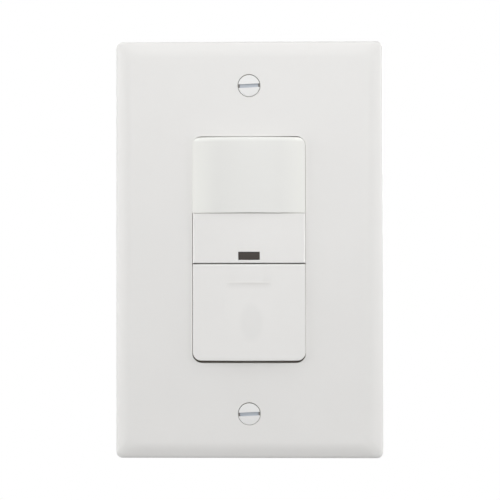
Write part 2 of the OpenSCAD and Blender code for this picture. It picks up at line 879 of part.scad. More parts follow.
module rear_housing() {
  half_w = housing_w / 2;
  half_h = housing_h / 2;
  color([0.2, 0.2, 0.22]) difference() {
    union() {
      difference() {
        intersection() {
          slab(0, housing_depth) rounded(housing_w, housing_h, 2.6);
          span_x(housing_w + over) tapered_section(half_h);
          span_z(housing_h + over) tapered_section(half_w);
        }
        slab(-over, back_in_y) rounded(housing_w - 2 * housing_wall, housing_h - 2 * housing_wall, 1.2);
      }
      at_case_screws() {
        rod(column_d, 0, back_in_y + sink);
        rod(foot_d, board_back_y, back_in_y + sink);
      }
      for (x = [-1, 1], z = [-1, 1])
        at(x * 16.8, z * 22) rod(4, power_back_y, back_in_y + sink);
      at_bays([0, 1]) block([bay_x - bay_wall, bay_y - bay_wall, -bay_h / 2 - bay_wall],
        [half_w - housing_wall / 2, bay_end + bay_wall, bay_h / 2 + bay_wall]);
    }
    at_bays([0, 1]) {
      block([bay_x, bay_y, -bay_h / 2], [half_w + over, bay_end, bay_h / 2]);
      translate([0, terminal_y, 0]) cross_bar(terminal_d + 0.6, bay_x - bay_wall - over, bay_x + over);
      block([bay_x, bay_end - over, -contact_w / 2 - fit],
        [bay_x + contact_t + fit, bay_end + bay_wall + over, contact_w / 2 + fit]);
    }
    at_case_screws() {
      rod(case_d + 0.4, -over, housing_depth + over);
      rod(case_head_d + 0.5, housing_depth - case_head_h - 0.4, housing_depth + over);
    }
    for (z = [-1, 0, 1])
      at(0, z * groove_pitch) block([-groove_x, housing_depth - groove_depth, -groove_w / 2],
        [groove_x, housing_depth + over, groove_w / 2]);
  }
}

module contact_strips() {
  color([0.8, 0.63, 0.3]) at_bays([0, 1]) difference() {
    union() {
      block([bay_x, bay_y + 0.6, -4.4], [bay_x + contact_t, terminal_y + 4.6, 4.4]);
      block([bay_x, terminal_y, -contact_w / 2], [bay_x + contact_t, power_y, contact_w / 2]);
    }
    translate([0, terminal_y, 0]) cross_bar(terminal_d + 2 * running, bay_x - over, bay_x + contact_t + over);
  }
}

module wire_clamps() {
  inner = bay_x + contact_t + wire_gap;
  color([0.72, 0.73, 0.74]) at_bays([0, 1]) translate([inner, terminal_y, 0]) difference() {
    block([0, -clamp_w / 2, -clamp_w / 2], [clamp_t, clamp_w / 2, clamp_w / 2]);
    cross_bar(terminal_d + 2 * fit, -over, clamp_t + over);
    for (y = [-1, 1])
      translate([0, y * 2.9, -clamp_w]) cylinder(d = 1, h = 2 * clamp_w);
  }
}

// One terminal screw of the right-hand side
module terminal_screw() {
  under_head = bay_x + contact_t + wire_gap + clamp_t;
  translate([0, terminal_y, 0]) difference() {
    union() {
      cross_bar(terminal_d, bay_x - bay_wall - 0.8, under_head + sink);
      cross_bar(terminal_head_d, under_head, under_head + terminal_head_h);
    }
    block([under_head + 0.9, -terminal_head_d, -slot_w / 2],
      [under_head + terminal_head_h + over, terminal_head_d, slot_w / 2]);
    block([under_head + 0.9, -slot_w / 2, -terminal_head_d],
      [under_head + terminal_head_h + over, slot_w / 2, terminal_head_d]);
  }
}

module hot_screws() {
  color([0.8, 0.63, 0.3]) at_bays([0]) terminal_screw();
}

module neutral_screws() {
  color([0.8, 0.8, 0.81]) at_bays([1]) terminal_screw();
}

module case_screws() {
  color([0.35, 0.35, 0.37]) at_case_screws() difference() {
    union() {
      rod(case_head_d, housing_depth - case_head_h - 0.4, housing_depth - 0.4);
      rod(case_d, post_y + 1, housing_depth - case_head_h - 0.4 + sink);
    }
    for (turn = [0, 90])
      rotate([0, turn, 0]) block([-1.5, housing_depth - 1.3, -0.35], [1.5, housing_depth + over, 0.35]);
  }
}

wall_plate();
plate_screws();
mounting_strap();
box_screws();
screw_retainers();
ground_screw();
front_cover();
sensor_lens();
indicator_window();
push_button();
return_spring();
switch_plunger();
switch_base();
trimmer_bases();
time_dial();
range_dial();
light_dial();
control_board();
infrared_sensor();
sensor_filter();
status_led();
light_sensor();
control_chip();
board_header();
power_board();
relay();
film_capacitor();
reservoir_capacitor();
surge_varistor();
rear_housing();
contact_strips();
wire_clamps();
hot_screws();
neutral_screws();
case_screws();
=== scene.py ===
# %% [markdown]
# # A motion sensor light switch, dressed in Blender
#
# The part arrives as exact solids from the CAD step. This lesson loads them as a fixed frame, models the
# pieces that face the viewer again with rounder edges, gives every piece a finish made of shader nodes, and
# lights it as a product photograph is lit. Blender's lengths are metres, so the sizes of pieces, which are
# written in millimetres, are multiplied by MM. X is to the right, Z is up and the viewer stands at minus Y.

# %% Load the frame
import json
import math

import bmesh
import bpy
from mathutils import Matrix, Vector

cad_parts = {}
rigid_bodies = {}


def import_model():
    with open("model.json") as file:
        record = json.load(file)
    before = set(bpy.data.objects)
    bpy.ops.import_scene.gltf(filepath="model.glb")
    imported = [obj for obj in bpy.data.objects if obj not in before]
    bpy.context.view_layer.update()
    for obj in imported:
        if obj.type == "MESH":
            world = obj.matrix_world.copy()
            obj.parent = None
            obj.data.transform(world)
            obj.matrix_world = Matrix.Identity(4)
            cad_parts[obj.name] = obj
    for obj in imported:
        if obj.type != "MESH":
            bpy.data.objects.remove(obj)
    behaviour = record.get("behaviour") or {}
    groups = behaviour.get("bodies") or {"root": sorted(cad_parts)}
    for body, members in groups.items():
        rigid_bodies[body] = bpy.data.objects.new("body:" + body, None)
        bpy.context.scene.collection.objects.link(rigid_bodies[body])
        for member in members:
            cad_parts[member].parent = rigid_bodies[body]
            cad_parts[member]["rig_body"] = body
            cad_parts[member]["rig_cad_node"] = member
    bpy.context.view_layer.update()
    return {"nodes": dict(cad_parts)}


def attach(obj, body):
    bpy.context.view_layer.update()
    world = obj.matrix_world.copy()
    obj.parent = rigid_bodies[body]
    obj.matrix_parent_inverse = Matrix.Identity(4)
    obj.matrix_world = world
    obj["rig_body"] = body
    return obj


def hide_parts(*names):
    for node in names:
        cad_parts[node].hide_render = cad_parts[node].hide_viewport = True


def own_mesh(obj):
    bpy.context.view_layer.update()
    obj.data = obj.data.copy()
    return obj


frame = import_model()
nodes = frame["nodes"]
MM = 0.001

# %% [markdown]
# ## The camera
#
# The photograph was taken almost square on, a little to the right of the switch and a little below its
# middle. A long lens keeps the plate's sides parallel. The place and the turn come from fitting the corners
# of the plate and of its opening, so that each line of the render lies on the line it stands for.

# %% Camera
CAMERA_AT = Vector((9.5177, -425.0, -4.1664)) * MM
FOCAL, SENSOR = 102.36, 36
PITCH, YAW, ROLL = 0.0096, 0.0221, -0.0011

ahead = Vector((-math.sin(YAW) * math.cos(PITCH), math.cos(YAW) * math.cos(PITCH), math.sin(PITCH)))
across = Vector((math.cos(YAW), math.sin(YAW), 0))
upward = across.cross(ahead)
right = across * math.cos(ROLL) + upward * math.sin(ROLL)
upright = upward * math.cos(ROLL) - across * math.sin(ROLL)

bpy.ops.object.select_all(action="DESELECT")
bpy.ops.object.camera_add()
camera = bpy.context.object
camera.name = "camera"
camera.data.lens = FOCAL
camera.data.sensor_width = SENSOR
camera.data.clip_start = 0.01
turn = Matrix((right, upright, -ahead)).transposed().to_4x4()
camera.matrix_world = Matrix.Translation(CAMERA_AT) @ turn
bpy.context.scene.camera = camera
print("camera", round(CAMERA_AT.length / MM), "mm away, focal length", FOCAL)

# %% [markdown]
# ## Shader sums as Python sums
#
# A node tree that is wired by hand is slow to read. A small class stands for one socket, so that an
# expression such as 1 - mask adds its Math node by itself. Everything else goes through one method, which
# adds a node of any type, applies its settings and then fills its sockets with numbers or links.

# %% Sockets
class Socket:
    """One output of a shader node, which takes part in sums."""

    def __init__(self, finish, plug):
        self.finish, self.plug = finish, plug

    def sum(self, operation, first, second=0.0):
        """Adds one Math node."""
        return self.finish.add("Math", {"operation": operation}, {0: first, 1: second})

    def __add__(self, other):
        return self.sum("ADD", self, other)

    def __sub__(self, other):
        return self.sum("SUBTRACT", self, other)

    def __rsub__(self, other):
        return self.sum("SUBTRACT", other, self)

    def __mul__(self, other):
        return self.sum("MULTIPLY", self, other)

    def __truediv__(self, other):
        return self.sum("DIVIDE", self, other)

    def __lt__(self, other):
        return self.sum("LESS_THAN", self, other)

    __radd__, __rmul__ = __add__, __mul__

    def size(self):
        """The value without its sign."""
        return self.sum("ABSOLUTE", self)

    def step(self, low, high):
        """0 below low, 1 above high and smooth between them."""
        settings = {"interpolation_type": "SMOOTHSTEP"}
        return self.finish.add("MapRange", settings, {"Value": self, "From Min": low, "From Max": high})


print("sums add Math nodes")

# %% Node trees and finishes
NOISE_ROUGHNESS = 0.55


class Wiring:
    """A node tree under construction."""

    def __init__(self, owner):
        owner.use_nodes = True
        self.tree = owner.node_tree
        self.tree.nodes.clear()

    def add(self, kind, settings=None, sockets=None, output=0):
        """Adds a node of any kind, applies its settings, fills its sockets and returns one of its outputs."""
        node = self.tree.nodes.new("ShaderNode" + kind)
        for name, value in (settings or {}).items():
            setattr(node, name, value)
        self.fill(node, sockets or {})
        return None if output is None else Socket(self, node.outputs[output])

    def fill(self, node, sockets):
        """Gives sockets their links or numbers."""
        for name, value in sockets.items():
            if isinstance(value, Socket):
                self.tree.links.new(value.plug, node.inputs[name])
            else:
                node.inputs[name].default_value = value


class Finish(Wiring):
    """A material under construction: a Principled shader and the nodes that feed it."""

    def __init__(self, name):
        self.material = bpy.data.materials.new(name)
        super().__init__(self.material)
        self.shader = self.tree.nodes.new("ShaderNodeBsdfPrincipled")
        output = self.tree.nodes.new("ShaderNodeOutputMaterial")
        self.tree.links.new(self.shader.outputs[0], output.inputs["Surface"])
        self.place = self.add("TexCoord", output="Object")

    def noise(self, scale, detail, stretch=(1, 1, 1)):
        """Clouds from 0 to 1 that are about 1/scale metres across, longer where the stretch is smaller."""
        place = self.place
        if stretch != (1, 1, 1):
            place = self.add("Mapping", {}, {"Vector": place, "Scale": stretch})
        sockets = {"Vector": place, "Scale": scale, "Detail": detail, "Roughness": NOISE_ROUGHNESS}
        return self.add("TexNoise", {}, sockets)

    def axes(self):
        """The three coordinates of the place, in metres."""
        return [self.add("SeparateXYZ", {}, {0: self.place}, axis) for axis in "XYZ"]

    def blend(self, share, first, second):
        """A colour between two. The Mix node's colours go in at 6 and 7 and come out at 2."""
        first, second = (c if isinstance(c, Socket) else (*c, 1) for c in (first, second))
        return self.add("Mix", {"data_type": "RGBA"}, {0: share, 6: first, 7: second}, 2)

    def bump(self, height, depth):
        """A normal that follows the height, whose full range is depth metres."""
        return self.add("Bump", {}, {"Height": height, "Distance": depth, "Strength": 1.0}, "Normal")

    def done(self, **sockets):
        """Fills the sockets of the Principled shader, and gives the material."""
        names = {name.replace("_", " "): value for name, value in sockets.items()}
        self.fill(self.shader, names)
        return self.material


def srgb(red, green, blue):
    """A colour as a picture editor shows it, made linear for a shader."""
    def linear(level):
        level /= 255
        return level / 12.92 if level <= 0.04045 else ((level + 0.055) / 1.055) ** 2.4
    return tuple(linear(level) for level in (red, green, blue))


def scaled(colour, factor):
    """A colour made lighter or darker."""
    return tuple(min(level * factor, 1.0) for level in colour)


print("a grey of 128 is", round(srgb(128, 128, 128)[0], 3), "in linear light")

# %% [markdown]
# ## White moulded plastic
#
# The plate, the cover and the button are moulded in nearly the same white, but each comes from another
# tool. Under a lens the skin is never flat: the mould leaves a fine eroded grain, the melt flows in faint
# clouds, and the gloss varies with both. Three noises at three scales give that, and all of them read the
# object's own coordinates in metres.

# %% Moulded plastics
MICRON = MM * MM
PLASTIC_IOR = 1.49


def moulded(name, colour, gloss, grain=6 * MICRON, clouds=0.012, touch=None, **more):
    """Injection-moulded plastic: eroded grain, faint flow clouds and gloss that follows both."""
    finish = Finish(name)
    cloud = finish.noise(55, 4)
    speck = finish.noise(2600, 2)
    skin = finish.noise(5200, 3)
    tone = cloud * 0.8 + speck * 0.2
    base = finish.blend(tone, scaled(colour, 1 - 2 * clouds), scaled(colour, 1 + 2 * clouds))
    base = touch(finish, base) if touch else base
    return finish.done(Base_Color=base, Roughness=gloss - 0.06 + skin * 0.08 + cloud * 0.04,
                       Normal=finish.bump(skin, grain), IOR=PLASTIC_IOR, **more)


print("moulded plastic: three noises each")

# %% [markdown]
# The gaps between the white pieces look brown rather than grey: light that has bounced between the walls
# many times takes up the colour of the plastic. So the walls inside the gaps get a painted shade, a warmer,
# darker tone picked out by how deep they lie. The button gets a slightly darker oval on its face, and at the
# lip of its finger scoop a painted highlight, a lighter line, with a faint painted shadow below it.

# %% Painted shade of gaps, and marks on the button
# Painted shade: the warm, darker tone given to the walls inside the gaps.
GAP_SHADE = srgb(162, 148, 136)
# Painted shade in the countersinks round the screw heads, and where it reaches.
SINK_SHADE, SINK_REACH, SINK_FROM, SINK_TO = srgb(152, 148, 143), 4, -5.97, -5.82
SCREW_Z = 48.4
LIP_Z, LIP_X = -9.78, 7.2
OVAL_X, OVAL_Z, OVAL_HALF_W, OVAL_HALF_H = 0.7, -21.4, 3.7, 6.2


def shaded_gap_walls(front, deep, inside=None):
    """Painted shade on walls deeper than the face, within half a width and height if inside gives them."""
    def touch(finish, base):
        x, y, z = finish.axes()
        share = y.step(front * MM, deep * MM)
        if inside:
            share = share * (x.size() < inside[0] * MM) * (z.size() < inside[1] * MM)
        return finish.blend(share, base, GAP_SHADE)
    return touch


def plate_hole_shade(finish, base):
    """Painted shade on the walls of the plate's opening and in the countersinks round the screw heads."""
    base = shaded_gap_walls(-5.8, -5.0, (17.4, 34.1))(finish, base)
    x, y, z = finish.axes()
    up = z.size() - SCREW_Z * MM
    near_screw = (x * x + up * up) < (SINK_REACH * MM) ** 2
    return finish.blend(near_screw * y.step(SINK_FROM * MM, SINK_TO * MM), base, SINK_SHADE)


def button_shade_and_highlight(finish, base):
    """Painted shade in the gap walls and below the lip, a painted highlight above it, and a darker oval."""
    x, y, z = finish.axes()
    base = shaded_gap_walls(-6.3, -5.2)(finish, base)
    across = (x - OVAL_X * MM) / (OVAL_HALF_W * MM)
    along = (z - OVAL_Z * MM) / (OVAL_HALF_H * MM)
    oval = 1 - (across * across + along * along).step(0.35, 1.15)
    base = finish.blend(oval * 0.24, base, srgb(220, 220, 218))
    ends = 1 - x.size().step(0.7 * LIP_X * MM, LIP_X * MM)
    below = (LIP_Z * MM - z) / MM
    # Painted shadow: a darker band just below the lip of the scoop.
    lip_shadow = below.step(-0.05, 0.08) * (1 - below.step(0.1, 2.2)) * ends
    base = finish.blend(lip_shadow * 0.15, base, srgb(196, 194, 189))
    # Painted highlight: a lighter line just above the lip of the scoop.
    worn = below.step(-0.5, -0.25) * (1 - below.step(-0.2, -0.02)) * ends
    return finish.blend(worn * 0.8, base, srgb(242, 241, 238))


def lens_side_highlight(finish, base):
    """Painted highlight: the lens is made lighter towards its sides, where its face bends away."""
    x = finish.axes()[0]
    return finish.blend(x.size().step(8 * MM, 16.5 * MM), base, srgb(240, 240, 236))


print("gap tone", [round(c, 3) for c in GAP_SHADE])

# %% Plastics of the switch
PLATE_WHITE, FACE_WHITE = srgb(232, 231, 229), srgb(235, 234, 232)
plastics = {
    "plate_white": moulded("plate_white", PLATE_WHITE, 0.4, touch=plate_hole_shade),
    "cover_white": moulded("cover_white", FACE_WHITE, 0.42, touch=shaded_gap_walls(-6.4, -5.4)),
    "button_white": moulded("button_white", FACE_WHITE, 0.4, touch=button_shade_and_highlight),
    "lens_milky": moulded("lens_milky", srgb(231, 231, 228), 0.34, touch=lens_side_highlight),
    "dial_white": moulded("dial_white", srgb(225, 224, 216), 0.45),
    "housing_grey": moulded("housing_grey", srgb(94, 97, 101), 0.5, 14 * MICRON, 0.03),
    "relay_blue": moulded("relay_blue", srgb(42, 66, 118), 0.38),
    "trimmer_blue": moulded("trimmer_blue", srgb(48, 84, 146), 0.45),
    "switch_black": moulded("switch_black", srgb(38, 38, 40), 0.5),
    "plunger_black": moulded("plunger_black", srgb(32, 32, 34), 0.4),
    "header_black": moulded("header_black", srgb(30, 30, 31), 0.55),
    "chip_black": moulded("chip_black", srgb(36, 36, 38), 0.6),
    "film_yellow": moulded("film_yellow", srgb(206, 164, 52), 0.4),
    "varistor_blue": moulded("varistor_blue", srgb(52, 92, 150), 0.35, 40 * MICRON, 0.04),
    "can_sleeve": moulded("can_sleeve", srgb(34, 38, 52), 0.3),
    "retainer_fibre": moulded("retainer_fibre", srgb(132, 98, 68), 0.75, 30 * MICRON, 0.08),
    "filter_dark": moulded("filter_dark", srgb(40, 32, 36), 0.2),
    "window_smoke": moulded("window_smoke", srgb(36, 24, 17), 0.3, Specular_IOR_Level=0.38),
    "led_red": moulded("led_red", srgb(176, 40, 34), 0.2),
    "light_sensor_clear": moulded("light_sensor_clear", srgb(196, 200, 196), 0.15),
    "board_green": moulded("board_green", srgb(36, 98, 60), 0.35),
}
print("plastics:", len(plastics))

# %% [markdown]
# ## Metals
#
# The strap is zinc-plated sheet, the screws are drawn wire with a rolled thread, and the contacts are
# stamped brass. Most keep the direction they were worked in, so their noise is stretched along it.

# %% Metals
STAIN, DULL = 0.25, 0.12


def worked_metal(name, colour, gloss, stretch=(1, 1, 0.06)):
    """Plated or bare metal, with fine lines along the way it was rolled and faint cloudy stains."""
    finish = Finish(name)
    lines = finish.noise(3200, 3, stretch)
    cloud = finish.noise(140, 5)
    stained = cloud.step(0.45, 0.75) * STAIN
    base = finish.blend(stained, colour, scaled(colour, 0.62))
    return finish.done(Base_Color=base, Metallic=1.0, Roughness=gloss + lines * DULL + stained * 0.25,
                       Normal=finish.bump(lines, 3 * MICRON))


metals = {
    "strap_steel": worked_metal("strap_steel", srgb(196, 199, 203), 0.3),
    "screw_steel": worked_metal("screw_steel", srgb(206, 203, 190), 0.26, (1, 0.1, 1)),
    "case_steel": worked_metal("case_steel", srgb(176, 176, 176), 0.3, (1, 0.1, 1)),
    "clamp_steel": worked_metal("clamp_steel", srgb(204, 203, 198), 0.3),
    "spring_steel": worked_metal("spring_steel", srgb(188, 190, 194), 0.25, (1, 1, 1)),
    "contact_brass": worked_metal("contact_brass", srgb(203, 175, 116), 0.3),
    "terminal_brass": worked_metal("terminal_brass", srgb(207, 179, 120), 0.26, (0.1, 1, 1)),
    "terminal_nickel": worked_metal("terminal_nickel", srgb(212, 210, 204), 0.24, (0.1, 1, 1)),
    "sensor_can": worked_metal("sensor_can", srgb(206, 204, 198), 0.25, (1, 1, 1)),
    "ground_green": worked_metal("ground_green", srgb(44, 128, 72), 0.32, (0.1, 1, 1)),
}
print("metals:", len(metals))

# %% [markdown]
# The plate screws are steel with heads that were sprayed white to match the plate, so their finish changes
# from paint to bare zinc where the shank leaves the countersink.

# %% Painted screws
WEAR_FROM, WEAR_TO = -5.9, -5.76


def painted_head(name, paint, worn, bare, edge):
    """Paint that is worn thin in the slot, and plated steel behind an edge, given in millimetres of depth."""
    finish = Finish(name)
    y = finish.axes()[1]
    spray = finish.noise(1800, 3)
    shank = y.step((edge - 0.2) * MM, (edge + 0.2) * MM)
    base = finish.blend(spray, scaled(paint, 0.985), scaled(paint, 1.015))
    base = finish.blend(y.step(WEAR_FROM * MM, WEAR_TO * MM), base, worn)
    base = finish.blend(shank, base, bare)
    return finish.done(Base_Color=base, Metallic=shank, Roughness=0.36 + spray * 0.05 - shank * 0.08,
                       Normal=finish.bump(spray, 8 * MICRON))


screw_white = painted_head("screw_white", paint=srgb(234, 234, 233), worn=srgb(190, 196, 204),
                           bare=srgb(200, 200, 196), edge=-3.6)
finishes = {**plastics, **metals, "screw_white": screw_white}
for node in nodes.values():
    for place in node.material_slots:
        place.material = finishes[place.material.name.split(".")[0]]
print("finishes:", len(finishes))

# %% [markdown]
# ## Tools for modelling
#
# Modelling by hand is a row of operators: add a primitive, go into edit mode, choose faces or edges, and
# inset, extrude, bevel or spin them. Operators work on whatever is selected, so each helper starts from an
# empty selection, and faces are chosen in code by where they lie. Sizes are written in millimetres, as on a
# drawing.

# %% Starting a piece
BAR_SIDES = 48


def fresh():
    """Object mode with nothing selected."""
    if bpy.context.object and bpy.context.object.mode != "OBJECT":
        bpy.ops.object.mode_set(mode="OBJECT")
    bpy.ops.object.select_all(action="DESELECT")


def hold(piece):
    """Makes one object the only selected and active one."""
    fresh()
    piece.select_set(True)
    bpy.context.view_layer.objects.active = piece


def started(name):
    """Names the new primitive and puts its place and size into its mesh."""
    bpy.ops.object.transform_apply(location=True, rotation=True, scale=True)
    piece = bpy.context.object
    piece.name = piece.data.name = name
    return piece


def block(name, low, high):
    """A box between two corners."""
    fresh()
    middle = [(a + b) / 2 * MM for a, b in zip(low, high)]
    size = [(b - a) * MM for a, b in zip(low, high)]
    bpy.ops.mesh.primitive_cube_add(size=1, location=middle, scale=size)
    return started(name)


def rod(name, d_front, d_back, front, back, x=0.0, z=0.0, sides=64):
    """A round bar or a cone along the depth."""
    fresh()
    bpy.ops.mesh.primitive_cone_add(vertices=sides, radius1=d_back / 2 * MM, radius2=d_front / 2 * MM,
                                    depth=(back - front) * MM, rotation=(math.pi / 2, 0, 0),
                                    location=(x * MM, (front + back) / 2 * MM, z * MM))
    return started(name)


def bar(name, d, x0, x1, y, z):
    """A round bar across the switch."""
    fresh()
    bpy.ops.mesh.primitive_cylinder_add(vertices=BAR_SIDES, radius=d / 2 * MM, depth=(x1 - x0) * MM,
                                        rotation=(0, math.pi / 2, 0),
                                        location=((x0 + x1) / 2 * MM, y * MM, z * MM))
    return started(name)


print("blocks, rods and bars")

# %% Choosing what to edit
SLACK = 0.004


def shape(piece, kind):
    """Edit mode on one piece with nothing selected."""
    hold(piece)
    bpy.ops.object.mode_set(mode="EDIT")
    bpy.ops.mesh.select_mode(type=kind)
    bpy.ops.mesh.select_all(action="DESELECT")


def choose(piece, kind, wanted):
    """Selects the corners, edges or faces whose points in millimetres pass a test, and counts them."""
    mesh = bmesh.from_edit_mesh(piece.data)
    count = 0
    for part in getattr(mesh, kind):
        points = [part.co / MM] if kind == "verts" else [v.co / MM for v in part.verts]
        if wanted(points):
            part.select_set(True)
            count += 1
    mesh.select_flush_mode()
    bmesh.update_edit_mesh(piece.data)
    return count


def near(value, target):
    """True where two lengths in millimetres agree."""
    return abs(value - target) < SLACK


print("lengths agree within", SLACK, "mm")

# %% Cutting, rounding and settling
WELD, SOFT_STEPS, CORNER_STEPS = 0.002, 2, 12
ALL_CORNERS = ((-1, -1), (1, -1), (-1, 1), (1, 1))


def combine(piece, tool, operation="DIFFERENCE"):
    """Cuts, joins or trims a piece with another object, which is used up."""
    hold(piece)
    step = piece.modifiers.new("combine", "BOOLEAN")
    step.operation, step.object, step.solver = operation, tool, "EXACT"
    bpy.ops.object.modifier_apply(modifier=step.name)
    bpy.data.objects.remove(tool)


def soften(piece, width, angle, clamp=False):
    """Rounds every edge that is sharper than an angle in degrees."""
    hold(piece)
    step = piece.modifiers.new("soften", "BEVEL")
    step.width, step.segments, step.limit_method = width * MM, SOFT_STEPS, "ANGLE"
    step.angle_limit, step.use_clamp_overlap, step.harden_normals = math.radians(angle), clamp, False
    bpy.ops.object.modifier_apply(modifier=step.name)


def weld(piece):
    """Joins the corners that cuts left in one place."""
    shape(piece, "VERT")
    bpy.ops.mesh.select_all(action="SELECT")
    bpy.ops.mesh.remove_doubles(threshold=WELD * MM)
    fresh()


def polish(piece, angle):
    """Smooth shading up to an angle, with the wide faces kept flat."""
    hold(piece)
    bpy.ops.object.shade_smooth_by_angle(angle=math.radians(angle))
    step = piece.modifiers.new("polish", "WEIGHTED_NORMAL")
    step.keep_sharp = True
    bpy.ops.object.modifier_apply(modifier=step.name)


def settle(piece, node, finish):
    """Gives a piece its finish and its place on the body of the solid that it stands for."""
    piece.data.materials.clear()
    piece.data.materials.append(finishes[finish])
    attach(piece, nodes[node]["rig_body"])
    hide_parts(node)
    print(piece.name, "has", len(piece.data.polygons), "faces and stands for", node)


def rounded_block(name, low, high, radius, corners=ALL_CORNERS):
    """A block whose edges along the depth are rounded at the named corners of the front view."""
    piece = block(name, low, high)
    shape(piece, "EDGE")
    mid_x, mid_z = (low[0] + high[0]) / 2, (low[2] + high[2]) / 2

    def corner(points):
        a, b = points
        along_depth = near(a.x, b.x) and near(a.z, b.z)
        return along_depth and (1 if a.x > mid_x else -1, 1 if a.z > mid_z else -1) in corners

    choose(piece, "edges", corner)
    bpy.ops.mesh.bevel(offset=radius * MM, segments=CORNER_STEPS, profile=0.5, affect="EDGES")
    fresh()
    return piece


print("soft edges have", SOFT_STEPS, "steps, rounded corners", CORNER_STEPS)

# %% [markdown]
# ## The wall plate
#
# A wall plate is a shallow tray of plastic, open at the back, with an edge that rolls over to the wall. It
# could be a box with a Bevel modifier, but the edge slopes away gently before it turns tightly, so the
# front face is inset in small steps that follow three arcs instead. The corners are bevelled along the
# mitres, which gives the soft corners of the moulding.

# %% Wall plate skin
PLATE_X, PLATE_Z, PLATE_Y = 39.7, 61.9, -6.0
ROLL_ARCS = ((86, 25, 1.7, 8), (25, 18, 15.8, 3), (18, 0, 7.1, 6))
FOOT, DRAFT = 0.4, 0.18
RIM, POCKET_Y = 2.2, -3.8
CORNER_R = 1.7


def arc_steps(arcs):
    """Steps inwards and forwards along arcs, each given by slopes at both ends, a radius and a count."""
    for start, end, radius, count in arcs:
        slopes = [math.radians(start + (end - start) * k / count) for k in range(count + 1)]
        for a, b in zip(slopes, slopes[1:]):
            yield radius * (math.sin(a) - math.sin(b)), radius * (math.cos(b) - math.cos(a))


roll = list(arc_steps(ROLL_ARCS))
roll_width, roll_depth = map(sum, zip(*roll))
plate = block("wall_plate_moulding", (-PLATE_X, -FOOT, -PLATE_Z), (PLATE_X, 0, PLATE_Z))
shape(plate, "FACE")
choose(plate, "faces", lambda p: all(near(v.y, -FOOT) for v in p))
for inwards, forwards in [(DRAFT, -PLATE_Y - FOOT - roll_depth), *roll]:
    bpy.ops.mesh.inset(thickness=inwards * MM, depth=forwards * MM)
bpy.ops.mesh.select_all(action="DESELECT")
choose(plate, "faces", lambda p: all(near(v.y, 0) for v in p))
bpy.ops.mesh.inset(thickness=RIM * MM)
bpy.ops.mesh.extrude_region_move(TRANSFORM_OT_translate={"value": (0, POCKET_Y * MM, 0)})
bpy.ops.mesh.select_all(action="DESELECT")
bpy.ops.mesh.select_mode(type="EDGE")


def mitre(points):
    """Edges of the outer skin that run along a corner of the plate."""
    a, b = points
    one_corner = a.x * b.x > 0 < a.z * b.z
    diagonal = all(near(PLATE_X - abs(v.x), PLATE_Z - abs(v.z)) for v in points)
    on_back = all(near(v.y, 0) for v in points)
    in_pocket = all(near(PLATE_X - abs(v.x), RIM) and v.y > POCKET_Y - 0.01 for v in points)
    return one_corner and diagonal and not on_back and not in_pocket


mitres = choose(plate, "edges", mitre)
bpy.ops.mesh.bevel(offset=CORNER_R * MM, segments=8, profile=0.5, affect="EDGES", clamp_overlap=False)
fresh()
print("mitre edges:", mitres, "roll in mm:", round(roll_width, 2), "wide,", round(roll_depth, 2), "deep")

# %% Wall plate bosses, ribs and holes
BOSS_D, BOSS_BACK = 5.66, -1.2
RIB_X, RIB_HALF, RIB_H, SUNK = 29, 0.6, 1.4, 0.3
HOLE_D, SINK_D, SINK_END_D = 3.9, 6.94, 3.7
SINK_FRONT, SINK_END = PLATE_Y - 0.06, -4.05
OPENING_X, OPENING_Z, OPENING_R, OPENING_SHIFT = 16.7, 33.4, 2.8, -0.05
CUT_FRONT, CUT_BACK = -9, 2

for end in (-1, 1):
    combine(plate, rod("boss", BOSS_D, BOSS_D, POCKET_Y - SUNK, BOSS_BACK, 0, end * SCREW_Z), "UNION")
    combine(plate, block("rib", (end * RIB_X - RIB_HALF, POCKET_Y - SUNK, RIM - PLATE_Z - SUNK),
                         (end * RIB_X + RIB_HALF, POCKET_Y + RIB_H, PLATE_Z - RIM + SUNK)), "UNION")
combine(plate, rounded_block("opening", (OPENING_SHIFT - OPENING_X, CUT_FRONT, -OPENING_Z),
                             (OPENING_SHIFT + OPENING_X, CUT_BACK, OPENING_Z), OPENING_R))
for end in (-1, 1):
    combine(plate, rod("hole", HOLE_D, HOLE_D, CUT_FRONT, CUT_BACK, 0, end * SCREW_Z))
    combine(plate, rod("countersink", SINK_D, SINK_END_D, SINK_FRONT, SINK_END, 0, end * SCREW_Z))
weld(plate)
soften(plate, 0.08, 50)
polish(plate, 28)
settle(plate, "wall_plate", "plate_white")

# %% [markdown]
# ## The plate screws
#
# Each screw has an oval head with one slot, painted to match the plate. A cone gives the countersunk side,
# and its front face is inset in rings that rise along a flattened arc. The thread is one ridge wound by the
# Screw modifier. One screw is modelled and copied to both ends.

# %% Copies and wound threads
THREAD_STEPS, THREAD_PITCH = 28, 0.79
# Shares of the pitch
RIDGE_H, CREST_HALF, ROOT_HALF, BASE_HALF = 0.55, 0.06, 0.46, 0.48
BASE_SUNK = 0.1


def moved(piece, move):
    """Moves a piece by millimetres and puts the move into its mesh."""
    hold(piece)
    bpy.ops.transform.translate(value=[c * MM for c in move])
    bpy.ops.object.transform_apply(location=True)


def copied(piece, name, move):
    """A copy with its own mesh, moved in millimetres."""
    hold(piece)
    bpy.ops.object.duplicate()
    other = bpy.context.object
    other.name = other.data.name = name
    moved(other, move)
    return other


def merged(name, pieces):
    """Several objects made one."""
    fresh()
    for piece in pieces:
        piece.select_set(True)
    bpy.context.view_layer.objects.active = pieces[0]
    bpy.ops.object.join()
    pieces[0].name = pieces[0].data.name = name
    return pieces[0]


def cap_ends(piece):
    """Closes the open ends of a wound piece and turns its faces outwards."""
    shape(piece, "EDGE")
    bpy.ops.mesh.select_non_manifold()
    bpy.ops.mesh.edge_face_add()
    bpy.ops.mesh.select_all(action="SELECT")
    bpy.ops.mesh.normals_make_consistent(inside=False)
    fresh()


